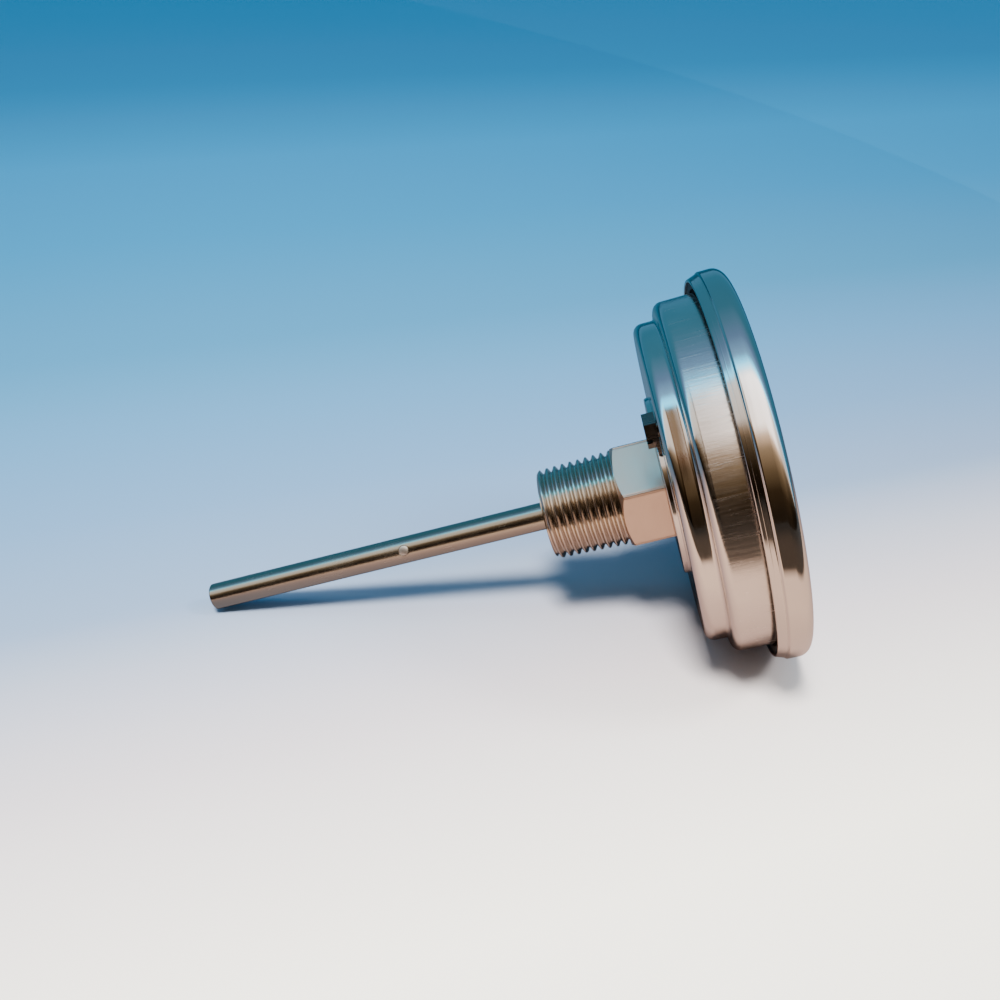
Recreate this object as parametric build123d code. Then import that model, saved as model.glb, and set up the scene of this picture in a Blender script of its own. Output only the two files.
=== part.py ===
# A back-connected bimetal dial thermometer: a slim probe, a tapered pipe thread with its
# hexagon, a stepped drawn case and a rolled bezel over the dial window.
#
# Frame: millimetres. The instrument's axis is Y. The dial looks towards -Y and the probe
# points towards +Y. +Z is twelve o'clock on the dial. The origin is on the axis, where the
# pipe thread meets its hexagon.
from build123d import *
import math
import os

# ---- Probe -----------------------------------------------------------------
PROBE_RADIUS = 3.175            # a quarter-inch tube
PROBE_WALL = 0.5
PROBE_LENGTH = 101.6            # four inches from the thread's shoulder to the tip
PROBE_TAIL = 4.0                # how far the tube runs on into the hexagon
TAIL_STEP = 0.35                # the tube's tail is upset this much thicker inside the connector
TIP_ROUND = 0.6
PLUG_LENGTH = 3.0

# ---- Pipe thread and hexagon -----------------------------------------------
THREAD_LENGTH = 17.2
THREAD_PITCH = 25.4 / 14        # fourteen threads to the inch
THREAD_END_RADIUS = 10.358      # crest radius at the small end
THREAD_DEPTH = 1.05             # crests and roots are cut well short of sharp
THREAD_TAPER = 1 / 32           # rise in radius for each millimetre of length
THREAD_CHAMFER = 0.65
THREAD_ROOT_FLAT = 0.25
HEX_ACROSS_FLATS = 22.225       # seven eighths of an inch
HEX_LENGTH = 10.0
HEX_FACE_RADIUS = 11.0          # where the hexagon's chamfer starts
HEX_CHAMFER_RISE = 0.577        # thirty degrees

# ---- Spigot, nut and sleeve behind the case wall ---------------------------
SPIGOT_RADIUS = 8.0
SPIGOT_BORE = 5.0
SPIGOT_PAST_NUT = 0.7
HOLE_CLEARANCE = 0.05
WASHER_RADIUS = 14.0
WASHER_THICK = 1.2
NUT_ACROSS_FLATS = 22.0
NUT_THICK = 4.0
SLEEVE_BORE = 3.0
SLEEVE_FLANGE_RADIUS = 8.5
SLEEVE_FLANGE_THICK = 1.2
SLEEVE_TAIL = 8.5               # how deep the sleeve sits in the spigot
SLEEVE_NOSE = 1.6               # how far it stands past the dial gear's clip

# ---- Case ------------------------------------------------------------------
SHEET = 0.6
HEAD_TO_BOSS = 0.5              # from the adjusting screw's corners to the boss
BOSS_HEIGHT = 1.1
CUP_RADIUS = 36.0
CUP_DEPTH = 5.05
CASE_RADIUS = 39.4
BODY_DEPTH = 10.15
CORNER_ROUND = 2.0              # outside radius of the drawn corners
INNER_ROUND = 0.8               # radius where a wall meets a step
FLANGE_WIDTH = 3.0

# ---- Bezel, window and seals -----------------------------------------------
BEZEL_SHEET = 0.7
BEZEL_CLEARANCE = 0.2
BEZEL_LIP_GRIP = 0.65           # how far the rolled lip reaches over the flange
BEZEL_BACK_ROUND = 1.3
BEZEL_FRONT_ROUND = 2.6
EDGE_SEAL_THICK = 1.2
REAR_SEAL_THICK = 1.3
GLASS_THICK = 2.5
GLASS_INSET = 0.4
FRONT_SEAL_THICK = 0.5

# ---- Dial and its drive ----------------------------------------------------
DIAL_EDGE_GAP = 1.4
DIAL_THICK = 0.6
DIAL_HOLE_RADIUS = 3.5
SIGHT_MARGIN = 0.8              # the bezel's opening is this much larger than the dial
GEAR_MODULE = 1.0
GEAR_TEETH = 37
PINION_TEETH = 12
GEAR_THICK = 1.5
GEAR_BACKLASH = 0.16            # taken off each tooth's width at the pitch line
PRESSURE_ANGLE = 20.0
FRICTION_WASHER_THICK = 0.8
STACK_GAP = 0.1                 # end float between turning faces
CUT_MARGIN = 1.0                # how far a cutting ring stands out past the metal
POST_COUNT = 3
POST_RADIUS = 1.5
POST_CIRCLE = 13.0
POST_LENGTH = 4.3
DIAL_SCREW_HEAD = 1.6
DIAL_SCREW_HEAD_THICK = 0.7
DIAL_SCREW_SHANK = 0.6
DIAL_SCREW_REACH = 3.0
CLIP_THICK = 0.7
CLIP_RADIUS = 7.0
CLIP_GROOVE = 0.7
CLIP_MOUTH = 60.0               # open angle of the two clips, degrees

# ---- Spindle, pointer and sensing coil -------------------------------------
SPINDLE_RADIUS = 0.75
RUNNING_GAP = 0.05              # radial clearance of every turning fit
POINTER_LIFT = 0.9              # from the dial's face to the pointer's seat
HUB_BACK_RADIUS = 3.0
HUB_NOSE_RADIUS = 1.9
HUB_BACK_THICK = 0.5
HUB_NOSE_LENGTH = 1.2
POINTER_THICK = 0.4
POINTER_LENGTH = 31.0
POINTER_TAIL = 12.0
POINTER_EYE_RADIUS = 3.8
POINTER_ROOT_WIDTH = 3.4
POINTER_TIP_WIDTH = 0.5
POINTER_TAIL_WIDTH = 4.6
POINTER_REST_ANGLE = 49.1       # degrees anticlockwise of twelve o'clock at room warmth
SENSING_LENGTH = 50.0           # from the tip to the middle of the lower guide bush
BUSH_LENGTH = 4.0
MIDDLE_BUSH_STATION = 8.0
STAKE_RADIUS = 1.1
STAKE_PROUD = 0.02
STAKE_ANGLE = 120.0             # degrees round the axis from +X towards +Z
ANCHOR_LENGTH = 5.0
ANCHOR_DISC = 1.2
COIL_RADIUS = 2.1
COIL_STRIP = 0.25
COIL_STRIP_WIDTH = 1.9
COIL_PITCH = 2.8
COIL_FIT = 0.03                 # from the weld post to the strip wound round it
COIL_END_LAP = 2.4              # how far the coil wraps over the spindle's collar
COLLAR_RADIUS = 1.55
COLLAR_LENGTH = 3.2
COLLAR_CLEARANCE = 1.0          # from the lower bush to the collar

# ---- Adjusting screw in the case back --------------------------------------
ADJUSTER_SHANK = 1.75
ADJUSTER_ACROSS_FLATS = 6.35    # quarter inch
ADJUSTER_HEAD_THICK = 2.5
ADJUSTER_HEAD_GAP = 0.15
ADJUSTER_TURN = 18.0            # how far the hexagon is turned at rest, degrees
SLOT_WIDTH = 1.0
SLOT_DEPTH = 1.1
BUSHING_SPIGOT = 2.6
BUSHING_RADIUS = 3.4
BUSHING_LENGTH = 4.3
O_RING_SECTION = 0.75
O_RING_STATION = 2.0            # from the case wall to the middle of the ring
PINION_THICK = 2.9
PINION_HUB_RADIUS = 3.0
PINION_START = 0.7              # the pinion stands this far behind the dial gear
ADJUSTER_CLIP_RADIUS = 3.2
ADJUSTER_CLIP_GROOVE = 0.4
ADJUSTER_NOSE = 0.8

# ---- Stations along Y, worked out from the sizes above ---------------------
BOSS_FACE = -HEX_LENGTH
CUP_BACK = BOSS_FACE - BOSS_HEIGHT
STEP_FACE = CUP_BACK - CUP_DEPTH
FLANGE_BACK = STEP_FACE - BODY_DEPTH
FLANGE_FRONT = FLANGE_BACK - SHEET
GLASS_BACK = FLANGE_FRONT - REAR_SEAL_THICK
GLASS_FRONT = GLASS_BACK - GLASS_THICK
BEZEL_INSIDE = GLASS_FRONT - FRONT_SEAL_THICK
BEZEL_FRONT = BEZEL_INSIDE - BEZEL_SHEET
LIP_INSIDE = FLANGE_BACK + EDGE_SEAL_THICK
BEZEL_BACK = LIP_INSIDE + BEZEL_SHEET

WASHER_BACK = BOSS_FACE - SHEET
NUT_BACK = WASHER_BACK - WASHER_THICK
NUT_FRONT = NUT_BACK - NUT_THICK
SPIGOT_FRONT = NUT_FRONT - SPIGOT_PAST_NUT
SLEEVE_FLANGE_FRONT = SPIGOT_FRONT - SLEEVE_FLANGE_THICK
FRICTION_FRONT = SLEEVE_FLANGE_FRONT - FRICTION_WASHER_THICK
GEAR_BACK = FRICTION_FRONT - STACK_GAP
GEAR_FRONT = GEAR_BACK - GEAR_THICK
SLEEVE_CLIP_BACK = GEAR_FRONT - STACK_GAP
SLEEVE_CLIP_FRONT = SLEEVE_CLIP_BACK - CLIP_THICK
SLEEVE_FRONT = SLEEVE_CLIP_FRONT - SLEEVE_NOSE
DIAL_BACK = GEAR_FRONT - POST_LENGTH
DIAL_FRONT = DIAL_BACK - DIAL_THICK
HUB_BACK = DIAL_FRONT - POINTER_LIFT
POINTER_BACK = HUB_BACK - HUB_BACK_THICK
HUB_FRONT = POINTER_BACK - HUB_NOSE_LENGTH

LOWER_BUSH = PROBE_LENGTH - SENSING_LENGTH
PLUG_FACE = PROBE_LENGTH - PLUG_LENGTH
ANCHOR_FACE = PLUG_FACE - ANCHOR_LENGTH
COLLAR_START = LOWER_BUSH + BUSH_LENGTH / 2 + COLLAR_CLEARANCE
COLLAR_END = COLLAR_START + COLLAR_LENGTH

BUSHING_FRONT = CUP_BACK - SHEET - BUSHING_LENGTH
HEAD_SEAT = CUP_BACK + ADJUSTER_HEAD_GAP
PINION_BACK = GEAR_BACK + PINION_START
PINION_FRONT = PINION_BACK - PINION_THICK
ADJUSTER_CLIP_BACK = PINION_FRONT
ADJUSTER_CLIP_FRONT = ADJUSTER_CLIP_BACK - CLIP_THICK
ADJUSTER_END = ADJUSTER_CLIP_FRONT - ADJUSTER_NOSE

# ---- Radii worked out from the sizes above ---------------------------------
PROBE_BORE = PROBE_RADIUS - PROBE_WALL
TAIL_RADIUS = PROBE_RADIUS + TAIL_STEP
FLANGE_RADIUS = CASE_RADIUS + FLANGE_WIDTH
BEZEL_INNER = FLANGE_RADIUS + BEZEL_CLEARANCE
BEZEL_RADIUS = BEZEL_INNER + BEZEL_SHEET
LIP_RADIUS = FLANGE_RADIUS - BEZEL_LIP_GRIP
GLASS_RADIUS = FLANGE_RADIUS - GLASS_INSET
DIAL_RADIUS = CASE_RADIUS - SHEET - DIAL_EDGE_GAP
SIGHT_RADIUS = DIAL_RADIUS + SIGHT_MARGIN
GEAR_PITCH_RADIUS = GEAR_MODULE * GEAR_TEETH / 2
PINION_PITCH_RADIUS = GEAR_MODULE * PINION_TEETH / 2
ADJUSTER_RADIUS = GEAR_PITCH_RADIUS + PINION_PITCH_RADIUS
SPINDLE_BORE = SPINDLE_RADIUS + RUNNING_GAP
ADJUSTER_CORNER = ADJUSTER_ACROSS_FLATS / math.sqrt(3)
BOSS_FOOT = ADJUSTER_RADIUS - ADJUSTER_CORNER - HEAD_TO_BOSS
BOSS_RADIUS = BOSS_FOOT - SHEET / 2


def lathe(points, rounds=None):
    """Turn a closed outline of (radius, y) points about Y, with a round at each corner."""
    if rounds is None:
        outline = Polyline(*points, close=True)
    else:
        outline = FilletPolyline(*points, radius=rounds, close=True)
    return revolve(make_face(outline), Axis.Y, 360)


def ring(start, end, radius, bore=0.0):
    """A plain disc or ring between two stations on Y."""
    low, high = min(start, end), max(start, end)
    return lathe([(bore, low), (radius, low), (radius, high), (bore, high)])


def prism(outline, start, end):
    """Extrude a face drawn in X and Z between two stations on Y."""
    low, high = min(start, end), max(start, end)
    flat = Plane(origin=(0, high, 0), x_dir=(1, 0, 0), z_dir=(0, -1, 0))
    return extrude(flat * outline, high - low)


def hexagon(across_flats, start, end, turn=0.0):
    """A hexagonal bar along Y, with flats up and down when it isn't turned."""
    outline = RegularPolygon(across_flats / 2, 6, major_radius=False, rotation=turn)
    return prism(outline, start, end)


def at_angle(radius, degrees):
    """The place at a radius and an angle, from +X towards +Z, as a move in X and Z."""
    turn = math.radians(degrees)
    return Pos(radius * math.cos(turn), 0, radius * math.sin(turn))


# ---- Probe and connector ---------------------------------------------------
def thread_outline():
    """Crests and roots of the taper thread, from the shoulder to the chamfered end."""
    half = THREAD_DEPTH * math.tan(math.radians(30))
    count = int((THREAD_LENGTH - THREAD_CHAMFER) / THREAD_PITCH)
    spare = THREAD_LENGTH - count * THREAD_PITCH
    points = []
    for turn in range(count):
        middle = spare / 2 + (turn + 0.5) * THREAD_PITCH
        crest = THREAD_END_RADIUS + (THREAD_LENGTH - middle) * THREAD_TAPER
        reach = half + THREAD_ROOT_FLAT / 2
        points.append((crest, middle - reach))
        points.append((crest - THREAD_DEPTH, middle - THREAD_ROOT_FLAT / 2))
        points.append((crest - THREAD_DEPTH, middle + THREAD_ROOT_FLAT / 2))
        points.append((crest, middle + reach))
    points.append((THREAD_END_RADIUS, THREAD_LENGTH - THREAD_CHAMFER))
    points.append((THREAD_END_RADIUS - THREAD_CHAMFER, THREAD_LENGTH))
    return points


def connector():
    """Thread, hexagon and spigot, turned and milled from one bar."""
    base = THREAD_END_RADIUS + THREAD_LENGTH * THREAD_TAPER
    points = [(TAIL_RADIUS, THREAD_LENGTH), (TAIL_RADIUS, -PROBE_TAIL)]
    points += [(SPIGOT_BORE, -PROBE_TAIL), (SPIGOT_BORE, SPIGOT_FRONT)]
    points += [(SPIGOT_RADIUS, SPIGOT_FRONT), (SPIGOT_RADIUS, BOSS_FACE)]
    points += [(base, BOSS_FACE), (base, 0)]
    turned = lathe(points + thread_outline())
    reach = HEX_ACROSS_FLATS
    rise = (reach - HEX_FACE_RADIUS) * HEX_CHAMFER_RISE
    bar = hexagon(HEX_ACROSS_FLATS, BOSS_FACE, 0)
    cone = lathe([(0, BOSS_FACE), (reach, BOSS_FACE), (reach, -rise), (HEX_FACE_RADIUS, 0), (0, 0)])
    hexed = (bar & cone) - ring(BOSS_FACE, 0, SPIGOT_RADIUS)
    return turned + hexed


def stem_tube():
    corners = [(PROBE_BORE, -PROBE_TAIL), (TAIL_RADIUS, -PROBE_TAIL), (TAIL_RADIUS, THREAD_LENGTH)]
    corners += [(PROBE_RADIUS, THREAD_LENGTH), (PROBE_RADIUS, PROBE_LENGTH), (PROBE_BORE, PROBE_LENGTH)]
    tube = lathe(corners, [0, 0, 0, 0, min(TIP_ROUND, PROBE_WALL * 0.8), 0])
    return tube - stake_body(STAKE_RADIUS)


def stem_tip_plug():
    return ring(PLUG_FACE, PROBE_LENGTH, PROBE_BORE)


def stake_body(radius):
    """The round stake's cylinder, through the tube's wall at the lower bush."""
    turn = math.radians(STAKE_ANGLE)
    outward = (math.cos(turn), 0, math.sin(turn))
    flat = Plane(origin=(0, LOWER_BUSH, 0), x_dir=(0, 1, 0), z_dir=outward)
    inner = PROBE_BORE - PROBE_WALL
    outer = PROBE_RADIUS + STAKE_PROUD
    return extrude(flat.offset(inner) * Circle(radius), outer - inner)


def bush_stake():
    """The stake, from the bush's face out to a flat head that is level with the tube."""
    return stake_body(STAKE_RADIUS) - ring(LOWER_BUSH - BUSH_LENGTH, LOWER_BUSH + BUSH_LENGTH, PROBE_BORE)


def guide_bush(middle):
    half = BUSH_LENGTH / 2
    return ring(middle - half, middle + half, PROBE_BORE, SPINDLE_BORE)


def coil_anchor():
    """A disc against the tip plug, with the post that the coil's end is welded round."""
    disc = ring(PLUG_FACE - ANCHOR_DISC, PLUG_FACE, PROBE_BORE)
    return disc + ring(ANCHOR_FACE, PLUG_FACE, COIL_RADIUS - COIL_STRIP / 2 - COIL_FIT)


def bimetal_coil():
    """A flat strip wound into a long open helix inside the probe's tip."""
    first = COLLAR_END - COIL_END_LAP
    last = PLUG_FACE - ANCHOR_DISC - COIL_STRIP_WIDTH / 2 - STACK_GAP
    path = Helix(pitch=COIL_PITCH, height=last - first, radius=COIL_RADIUS)
    strip = Plane(origin=path @ 0, x_dir=(1, 0, 0), z_dir=path % 0) * Rectangle(COIL_STRIP, COIL_STRIP_WIDTH)
    coil = sweep(strip, path=path, is_frenet=True)
    return Pos(0, first, 0) * Rot(-90, 0, 0) * coil


# ---- Case, nut and washers -------------------------------------------------
def case_shell():
    """The stepped drawn case: boss, back cup, main wall and the flange under the bezel."""
    hole = SPIGOT_RADIUS + HOLE_CLEARANCE
    inside = CORNER_ROUND - SHEET
    tight = INNER_ROUND - SHEET
    wide = INNER_ROUND + SHEET
    outline = [
        (hole, BOSS_FACE, 0),
        (BOSS_RADIUS, BOSS_FACE, SHEET / 2),
        (BOSS_FOOT, CUP_BACK, SHEET / 4),
        (CUP_RADIUS, CUP_BACK, CORNER_ROUND),
        (CUP_RADIUS, STEP_FACE, INNER_ROUND),
        (CASE_RADIUS, STEP_FACE, CORNER_ROUND),
        (CASE_RADIUS, FLANGE_BACK, INNER_ROUND),
        (FLANGE_RADIUS, FLANGE_BACK, 0),
        (FLANGE_RADIUS, FLANGE_FRONT, 0),
        (CASE_RADIUS - SHEET, FLANGE_FRONT, wide),
        (CASE_RADIUS - SHEET, STEP_FACE - SHEET, inside),
        (CUP_RADIUS - SHEET, STEP_FACE - SHEET, wide),
        (CUP_RADIUS - SHEET, CUP_BACK - SHEET, inside),
        (BOSS_FOOT - SHEET, CUP_BACK - SHEET, SHEET / 2),
        (BOSS_RADIUS - SHEET, WASHER_BACK, SHEET / 4),
        (hole, WASHER_BACK, 0),
    ]
    shell = lathe([(r, y) for r, y, bend in outline], [bend for r, y, bend in outline])
    return shell - Pos(0, 0, ADJUSTER_RADIUS) * ring(CUP_BACK, CUP_BACK - SHEET, BUSHING_SPIGOT)


def backing_washer():
    return ring(WASHER_BACK, NUT_BACK, WASHER_RADIUS, SPIGOT_RADIUS)


def hub_nut():
    return hexagon(NUT_ACROSS_FLATS, NUT_BACK, NUT_FRONT) - ring(NUT_BACK, NUT_FRONT, SPIGOT_RADIUS)


def hub_sleeve():
    """The fixed bearing of the dial gear, pressed into the spigot against its flange."""
    groove = SPIGOT_BORE - CLIP_GROOVE
    tail = SPIGOT_FRONT + SLEEVE_TAIL
    body = ring(tail, SLEEVE_FRONT, SPIGOT_BORE, SLEEVE_BORE)
    body += ring(SPIGOT_FRONT, SLEEVE_FLANGE_FRONT, SLEEVE_FLANGE_RADIUS, SLEEVE_BORE)
    return body - ring(SLEEVE_CLIP_BACK, SLEEVE_CLIP_FRONT, SPIGOT_BORE + CUT_MARGIN, groove)


def upper_guide_bush():
    return ring(GEAR_BACK, SLEEVE_FRONT, SLEEVE_BORE, SPINDLE_BORE)


def friction_washer():
    return ring(SLEEVE_FLANGE_FRONT, FRICTION_FRONT, SLEEVE_FLANGE_RADIUS, SPIGOT_BORE)


def open_clip(start, end, bore, radius):
    """A spring clip: a ring with a mouth cut out of it."""
    reach = radius * 2
    half = math.radians(CLIP_MOUTH / 2)
    wedge = Polyline((0, 0), (reach, -reach * math.tan(half)), (reach, reach * math.tan(half)), close=True)
    return ring(start, end, radius, bore) - prism(make_face(wedge), start, end)


def dial_gear_clip():
    groove = SPIGOT_BORE - CLIP_GROOVE
    return open_clip(SLEEVE_CLIP_BACK, SLEEVE_CLIP_FRONT, groove, CLIP_RADIUS)


# ---- Bezel, window and seals -----------------------------------------------
def bezel_ring():
    """A rolled ring: lip behind the flange, outer band and the rim round the window."""
    outline = [
        (LIP_RADIUS, BEZEL_BACK, BEZEL_SHEET / 4),
        (BEZEL_RADIUS, BEZEL_BACK, BEZEL_BACK_ROUND),
        (BEZEL_RADIUS, BEZEL_FRONT, BEZEL_FRONT_ROUND),
        (SIGHT_RADIUS, BEZEL_FRONT, BEZEL_SHEET / 3),
        (SIGHT_RADIUS, BEZEL_INSIDE, 0),
        (BEZEL_INNER, BEZEL_INSIDE, BEZEL_FRONT_ROUND - BEZEL_SHEET),
        (BEZEL_INNER, LIP_INSIDE, BEZEL_BACK_ROUND - BEZEL_SHEET),
        (LIP_RADIUS, LIP_INSIDE, 0),
    ]
    return lathe([(r, y) for r, y, bend in outline], [bend for r, y, bend in outline])


def edge_seal():
    """The black ring between the case flange and the bezel's rolled lip."""
    edge = BEZEL_INNER - (BEZEL_BACK_ROUND - BEZEL_SHEET)
    return ring(FLANGE_BACK, LIP_INSIDE, edge, CASE_RADIUS + INNER_ROUND)


def rear_seal():
    return ring(FLANGE_FRONT, GLASS_BACK, GLASS_RADIUS, SIGHT_RADIUS)


def window_glass():
    edge = GLASS_RADIUS - (BEZEL_FRONT_ROUND - BEZEL_SHEET) / 2
    outline = [(0, GLASS_BACK), (GLASS_RADIUS, GLASS_BACK), (GLASS_RADIUS, GLASS_FRONT + GLASS_INSET)]
    outline += [(edge, GLASS_FRONT), (0, GLASS_FRONT)]
    return lathe(outline)


def front_seal():
    edge = BEZEL_INNER - (BEZEL_FRONT_ROUND - BEZEL_SHEET)
    return ring(GLASS_FRONT, BEZEL_INSIDE, edge, SIGHT_RADIUS)


# ---- Gears -----------------------------------------------------------------
def involute_flank(base, radius):
    """The angle that an involute has swept at a radius, in radians."""
    if radius <= base:
        return 0.0
    reach = math.acos(base / radius)
    return math.tan(reach) - reach


def gear_face(teeth, phase):
    """A spur gear's outline in X and Z, with a tooth's middle at the phase angle."""
    pitch = GEAR_MODULE * teeth / 2
    base = pitch * math.cos(math.radians(PRESSURE_ANGLE))
    root = pitch - 1.25 * GEAR_MODULE
    tip = pitch + GEAR_MODULE
    half = (math.pi * GEAR_MODULE / 2 - GEAR_BACKLASH) / pitch / 2
    at_pitch = involute_flank(base, pitch)
    start = max(base, root)
    radii = [start + (tip - start) * step / 4 for step in range(5)]
    points = []
    for tooth in range(teeth):
        middle = math.radians(phase) + tooth * 2 * math.pi / teeth
        rise = [(r, middle - half - at_pitch + involute_flank(base, r)) for r in radii]
        fall = [(r, 2 * middle - angle) for r, angle in reversed(rise)]
        foot = [(root, rise[0][1])] if root < base else []
        heel = [(root, fall[-1][1])] if root < base else []
        for r, angle in foot + rise + fall + heel:
            points.append((r * math.cos(angle), r * math.sin(angle)))
    return make_face(Polyline(*points, close=True))


def dial_gear():
    blank = prism(gear_face(GEAR_TEETH, 90), GEAR_BACK, GEAR_FRONT)
    return blank - ring(GEAR_BACK, GEAR_FRONT, SPIGOT_BORE + RUNNING_GAP)


def adjuster_pinion():
    """The pinion and its hub, pressed on the screw; a gap faces the dial gear's tooth."""
    toothed = prism(gear_face(PINION_TEETH, 90), PINION_BACK, PINION_FRONT)
    hub = ring(BUSHING_FRONT - STACK_GAP, PINION_BACK, PINION_HUB_RADIUS)
    body = toothed + hub - ring(BUSHING_FRONT, PINION_FRONT, ADJUSTER_SHANK)
    turn = 180 / PINION_TEETH
    return Pos(0, 0, ADJUSTER_RADIUS) * Rot(0, turn, 0) * body


# ---- Dial ------------------------------------------------------------------
def post_places():
    return [at_angle(POST_CIRCLE, 90 + turn * 360 / POST_COUNT) for turn in range(POST_COUNT)]


def dial_posts():
    post = ring(GEAR_FRONT, DIAL_BACK, POST_RADIUS)
    post -= ring(DIAL_BACK, DIAL_BACK + DIAL_SCREW_REACH, DIAL_SCREW_SHANK)
    return Compound([place * post for place in post_places()])


def dial_plate():
    plate = ring(DIAL_BACK, DIAL_FRONT, DIAL_RADIUS, DIAL_HOLE_RADIUS)
    for place in post_places():
        plate -= place * ring(DIAL_BACK, DIAL_FRONT, DIAL_SCREW_SHANK)
    return plate


def dial_screws():
    head = DIAL_FRONT - DIAL_SCREW_HEAD_THICK
    screw = ring(DIAL_FRONT, head, DIAL_SCREW_HEAD)
    screw += ring(DIAL_FRONT, DIAL_BACK + DIAL_SCREW_REACH, DIAL_SCREW_SHANK)
    slot = Pos(0, head, 0) * Box(DIAL_SCREW_HEAD * 2, DIAL_SCREW_HEAD_THICK, DIAL_SCREW_SHANK)
    return Compound([place * (screw - slot) for place in post_places()])


# ---- Pointer and spindle ---------------------------------------------------
def spindle():
    return ring(COLLAR_END, HUB_FRONT, SPINDLE_RADIUS)


def coil_collar():
    return ring(COLLAR_START, COLLAR_END, COLLAR_RADIUS, SPINDLE_RADIUS)


def pointer_hub():
    back = ring(HUB_BACK, POINTER_BACK, HUB_BACK_RADIUS, SPINDLE_RADIUS)
    return back + ring(POINTER_BACK, HUB_FRONT, HUB_NOSE_RADIUS, SPINDLE_RADIUS)


def pointer():
    """A tapered blade with a round eye and a broad counterweight tail."""
    blade = Polyline(
        (-POINTER_ROOT_WIDTH / 2, 0),
        (-POINTER_TIP_WIDTH / 2, POINTER_LENGTH),
        (POINTER_TIP_WIDTH / 2, POINTER_LENGTH),
        (POINTER_ROOT_WIDTH / 2, 0),
        close=True,
    )
    tail = Polyline(
        (-POINTER_ROOT_WIDTH / 2, 0),
        (-POINTER_TAIL_WIDTH / 2, -POINTER_TAIL),
        (POINTER_TAIL_WIDTH / 2, -POINTER_TAIL),
        (POINTER_ROOT_WIDTH / 2, 0),
        close=True,
    )
    front = POINTER_BACK - POINTER_THICK
    body = prism(make_face(blade), POINTER_BACK, front) + prism(make_face(tail), POINTER_BACK, front)
    body += ring(POINTER_BACK, front, POINTER_EYE_RADIUS)
    body -= ring(POINTER_BACK, front, HUB_NOSE_RADIUS)
    return Rot(0, -POINTER_REST_ANGLE, 0) * body


# ---- Adjusting screw -------------------------------------------------------
def adjuster_bushing():
    """The flanged bush in the case back, with a groove inside it for the sealing ring."""
    bore = ADJUSTER_SHANK + RUNNING_GAP
    inner_wall = CUP_BACK - SHEET
    middle = inner_wall - O_RING_STATION
    half = O_RING_SECTION / 2
    body = ring(CUP_BACK, inner_wall, BUSHING_SPIGOT, bore)
    body += ring(inner_wall, BUSHING_FRONT, BUSHING_RADIUS, bore)
    body -= ring(middle - half, middle + half, bore + O_RING_SECTION, bore)
    return Pos(0, 0, ADJUSTER_RADIUS) * body


def adjuster_o_ring():
    """A round-section ring, drawn just clear of the shank that turns in it."""
    middle = CUP_BACK - SHEET - O_RING_STATION
    centre = ADJUSTER_SHANK + RUNNING_GAP + O_RING_SECTION / 2
    section = Pos(centre, middle) * Circle(O_RING_SECTION / 2)
    return Pos(0, 0, ADJUSTER_RADIUS) * revolve(section, Axis.Y, 360)


def adjuster_screw():
    head_back = HEAD_SEAT + ADJUSTER_HEAD_THICK
    head = hexagon(ADJUSTER_ACROSS_FLATS, HEAD_SEAT, head_back)
    slot = Pos(0, head_back, 0) * Box(ADJUSTER_ACROSS_FLATS * 2, SLOT_DEPTH * 2, SLOT_WIDTH)
    body = Rot(0, ADJUSTER_TURN, 0) * (head - slot) + ring(HEAD_SEAT, ADJUSTER_END, ADJUSTER_SHANK)
    groove = ADJUSTER_SHANK - ADJUSTER_CLIP_GROOVE
    body -= ring(ADJUSTER_CLIP_BACK, ADJUSTER_CLIP_FRONT, ADJUSTER_SHANK + CUT_MARGIN, groove)
    return Pos(0, 0, ADJUSTER_RADIUS) * body


def adjuster_clip():
    groove = ADJUSTER_SHANK - ADJUSTER_CLIP_GROOVE
    clip = open_clip(ADJUSTER_CLIP_BACK, ADJUSTER_CLIP_FRONT, groove, ADJUSTER_CLIP_RADIUS)
    return Pos(0, 0, ADJUSTER_RADIUS) * clip


NODES = {
    "connector": connector,
    "stem_tube": stem_tube,
    "stem_tip_plug": stem_tip_plug,
    "bush_stake": bush_stake,
    "lower_guide_bush": lambda: guide_bush(LOWER_BUSH),
    "middle_guide_bush": lambda: guide_bush(MIDDLE_BUSH_STATION),
    "upper_guide_bush": upper_guide_bush,
    "coil_anchor": coil_anchor,
    "bimetal_coil": bimetal_coil,
    "case_shell": case_shell,
    "backing_washer": backing_washer,
    "hub_nut": hub_nut,
    "hub_sleeve": hub_sleeve,
    "friction_washer": friction_washer,
    "dial_gear_clip": dial_gear_clip,
    "bezel_ring": bezel_ring,
    "edge_seal": edge_seal,
    "rear_seal": rear_seal,
    "window_glass": window_glass,
    "front_seal": front_seal,
    "dial_gear": dial_gear,
    "dial_posts": dial_posts,
    "dial_plate": dial_plate,
    "dial_screws": dial_screws,
    "spindle": spindle,
    "coil_collar": coil_collar,
    "pointer_hub": pointer_hub,
    "pointer": pointer,
    "adjuster_bushing": adjuster_bushing,
    "adjuster_o_ring": adjuster_o_ring,
    "adjuster_screw": adjuster_screw,
    "adjuster_pinion": adjuster_pinion,
    "adjuster_clip": adjuster_clip,
}

os.makedirs("parts", exist_ok=True)
for name, make in NODES.items():
    piece = make()
    export_step(piece, f"parts/{name}.step")
    print(name, len(piece.solids()), round(piece.volume, 2))
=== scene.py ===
import math

import bmesh
import bpy
import numpy as np
from mathutils import Matrix, Vector


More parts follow.
